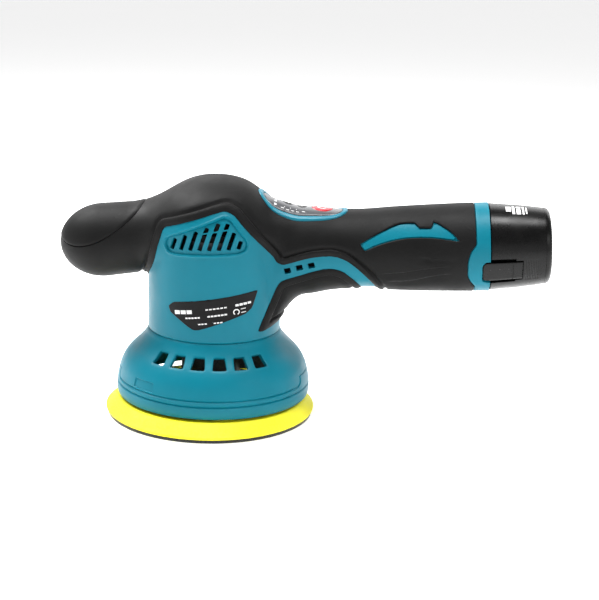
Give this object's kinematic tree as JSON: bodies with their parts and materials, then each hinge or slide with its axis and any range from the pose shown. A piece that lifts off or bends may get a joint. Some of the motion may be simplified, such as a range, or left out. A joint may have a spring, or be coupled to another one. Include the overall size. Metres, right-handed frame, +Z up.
{
  "type": "orbital sander",
  "caption": "Cordless orbital sander with a round hook-and-loop pad, a vented skirt, a palm knob, an in-line handle and a stick battery.",
  "frame": {"origin": "on the motor axis, in the plane that the pad rests on", "axes": "+Z up along the motor axis, +X along the handle towards the battery, the two clamshells meet at Y = 0"},
  "size_m": [0.2888, 0.125, 0.1422],
  "materials": {
    "teal_plastic": "satin moulded",
    "black_elastomer": "fine matte texture",
    "membrane_film": "gloss film",
    "name_plate_film": "satin film",
    "red_plastic": "gloss",
    "dark_grey_plastic": "moulded",
    "battery_plastic": "satin moulded",
    "board": "solder mask",
    "switch_plastic": "moulded",
    "lamp": "clear",
    "zinc_steel": "zinc plated",
    "ground_steel": "ground",
    "cast_alloy": "die cast",
    "ferrite": "sintered",
    "copper_winding": "lacquered",
    "copper": "turned",
    "carbon": "pressed",
    "wire_jacket": "smooth",
    "cell_wrap": "shrink sleeve",
    "yellow_foam": "moulded skin foam",
    "hook_fabric": "hook and loop"
  },
  "bodies": {
    "housing": {"left_housing": "teal_plastic", "right_housing": "teal_plastic", "left_grip_skin": "black_elastomer", "right_grip_skin": "black_elastomer", "left_finger_insert": "black_elastomer", "right_finger_insert": "black_elastomer", "knob_pad": "black_elastomer", "panel_bezel": "teal_plastic", "panel_membrane": "membrane_film", "left_name_plate": "name_plate_film", "right_name_plate": "name_plate_film", "housing_screws": "zinc_steel", "control_board": "board", "tact_switches": "switch_plastic", "speed_leds": "lamp", "terminal_block": "dark_grey_plastic", "terminal_blades": "copper", "battery_leads": "wire_jacket", "motor_leads": "wire_jacket", "skirt": "teal_plastic", "skirt_screws": "zinc_steel", "motor_mount_plate": "cast_alloy", "motor_can": "zinc_steel", "motor_screws": "zinc_steel", "front_motor_bearing": "ground_steel", "rear_motor_bearing": "ground_steel", "motor_end_bell": "dark_grey_plastic", "motor_magnets": "ferrite", "motor_brushes": "carbon", "brush_holders": "dark_grey_plastic"},
    "drive": {"motor_shaft": "ground_steel", "armature": "copper_winding", "commutator": "copper", "cooling_fan": "dark_grey_plastic", "eccentric_hub": "cast_alloy", "lower_pad_bearing": "ground_steel", "upper_pad_bearing": "ground_steel", "bearing_spacer": "ground_steel"},
    "pad": {"pad_spindle": "ground_steel", "spindle_clip": "zinc_steel", "backing_plate": "dark_grey_plastic", "pad_foam": "yellow_foam", "hook_face": "hook_fabric", "pad_washer": "zinc_steel", "pad_bolt": "zinc_steel"},
    "battery": {"battery_case": "battery_plastic", "battery_end_cap": "battery_plastic", "battery_cells": "cell_wrap", "battery_board": "board", "latch_springs": "zinc_steel", "latch_pins": "zinc_steel"},
    "left_latch": {"left_battery_latch": "battery_plastic"},
    "right_latch": {"right_battery_latch": "battery_plastic"},
    "power_key": {"power_button": "red_plastic"},
    "speed_up_key": {"speed_up_button": "dark_grey_plastic"},
    "speed_down_key": {"speed_down_button": "dark_grey_plastic"}
  },
  "joints": [
    {"name": "drive_spin", "type": "hinge", "parent": "housing", "child": "drive", "pos_m": [0, 0, 0.045], "axis": [0, 0, 1], "continuous": true},
    {"name": "pad_spin", "type": "hinge", "parent": "drive", "child": "pad", "pos_m": [-0.00128, -0.00432, 0.027], "axis": [0, 0, 1], "continuous": true},
    {"name": "battery_slide", "type": "slide", "parent": "housing", "child": "battery", "axis": [0.9982, 0, 0.0593], "range_m": [0, 0.055]},
    {"name": "left_latch_press", "type": "hinge", "parent": "battery", "child": "left_latch", "pos_m": [0.1771, -0.02129, 0.09781], "axis": [0.0542, 0.4067, -0.9119], "range_deg": [0, 4], "stiffness_Nm_per_rad": 0.5, "springref_deg": -2.86},
    {"name": "right_latch_press", "type": "hinge", "parent": "battery", "child": "right_latch", "pos_m": [0.1771, 0.02129, 0.09781], "axis": [-0.0542, 0.4067, 0.9119], "range_deg": [0, 4], "stiffness_Nm_per_rad": 0.5, "springref_deg": -2.86},
    {"name": "power_press", "type": "slide", "parent": "housing", "child": "power_key", "axis": [0, 0, -1], "range_m": [0, 0.0005], "stiffness_N_per_m": 4000, "springref_m": -0.0002},
    {"name": "speed_up_press", "type": "slide", "parent": "housing", "child": "speed_up_key", "axis": [0, 0, -1], "range_m": [0, 0.0005], "stiffness_N_per_m": 4000, "springref_m": -0.0002},
    {"name": "speed_down_press", "type": "slide", "parent": "housing", "child": "speed_down_key", "axis": [0, 0, -1], "range_m": [0, 0.0005], "stiffness_N_per_m": 4000, "springref_m": -0.0002}
  ]
}
